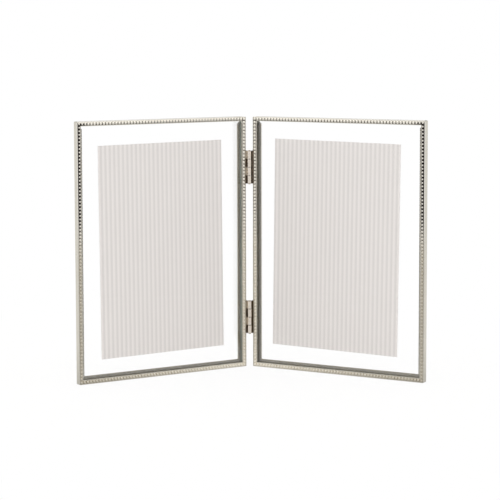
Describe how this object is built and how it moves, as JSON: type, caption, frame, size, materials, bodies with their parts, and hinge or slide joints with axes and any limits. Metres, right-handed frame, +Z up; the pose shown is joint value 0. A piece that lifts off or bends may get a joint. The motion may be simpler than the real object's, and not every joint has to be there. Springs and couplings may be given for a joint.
{
  "type": "hinged double photo frame",
  "caption": "Free-standing double photo frame: slim plated metal frames with a beaded front edge, joined by butt hinges, each holding a card between clear glass panes.",
  "frame": {"origin": "on the table under the middle of the open pair's box, half way between the outer stiles and half way front to back", "axes": "+X towards the right-hand frame as seen from the front, +Y away from the viewer towards the hinges, +Z up along the hinge pins"},
  "size_m": [0.2482, 0.0756, 0.1862],
  "materials": {
    "nickel_plated_steel": "satin nickel plate of a warm pale tint",
    "nickel_beading": "satin nickel plate, brighter on the bead tops",
    "hinge_steel": "plated rolled steel of a warm tint",
    "rivet_steel": "bright plated steel",
    "clear_glass": "clear float glass with seamed edges",
    "striped_card": "matt printed card with fine upright stripes of two pale greys"
  },
  "bodies": {
    "left_frame": {"left_inner_stile": "nickel_plated_steel", "left_outer_stile": "nickel_plated_steel", "left_bottom_rail": "nickel_plated_steel", "left_top_front_bar": "nickel_plated_steel", "left_top_back_bar": "nickel_plated_steel", "left_inner_beading": "nickel_beading", "left_outer_beading": "nickel_beading", "left_bottom_beading": "nickel_beading", "left_top_beading": "nickel_beading", "upper_hinge_left_leaf": "hinge_steel", "lower_hinge_left_leaf": "hinge_steel", "left_hinge_rivets": "rivet_steel", "upper_hinge_pin": "hinge_steel", "lower_hinge_pin": "hinge_steel"},
    "left_front_pane": {"left_front_glass": "clear_glass"},
    "left_back_pane": {"left_photo_card": "striped_card", "left_back_glass": "clear_glass"},
    "right_frame": {"right_inner_stile": "nickel_plated_steel", "right_outer_stile": "nickel_plated_steel", "right_bottom_rail": "nickel_plated_steel", "right_top_front_bar": "nickel_plated_steel", "right_top_back_bar": "nickel_plated_steel", "right_inner_beading": "nickel_beading", "right_outer_beading": "nickel_beading", "right_bottom_beading": "nickel_beading", "right_top_beading": "nickel_beading", "upper_hinge_right_leaf": "hinge_steel", "lower_hinge_right_leaf": "hinge_steel", "right_hinge_rivets": "rivet_steel"},
    "right_front_pane": {"right_front_glass": "clear_glass"},
    "right_back_pane": {"right_photo_card": "striped_card", "right_back_glass": "clear_glass"}
  },
  "joints": [
    {"name": "fold", "type": "hinge", "parent": "left_frame", "child": "right_frame", "pos_m": [0, 0.03238, 0], "axis": [0, 0, 1], "range_deg": [-118, 62]},
    {"name": "left_front_pane_lift", "type": "slide", "parent": "left_frame", "child": "left_front_pane", "axis": [0, 0, 1], "range_m": [0, 0.19]},
    {"name": "left_back_pane_lift", "type": "slide", "parent": "left_frame", "child": "left_back_pane", "axis": [0, 0, 1], "range_m": [0, 0.19]},
    {"name": "right_front_pane_lift", "type": "slide", "parent": "right_frame", "child": "right_front_pane", "axis": [0, 0, 1], "range_m": [0, 0.19]},
    {"name": "right_back_pane_lift", "type": "slide", "parent": "right_frame", "child": "right_back_pane", "axis": [0, 0, 1], "range_m": [0, 0.19]}
  ]
}
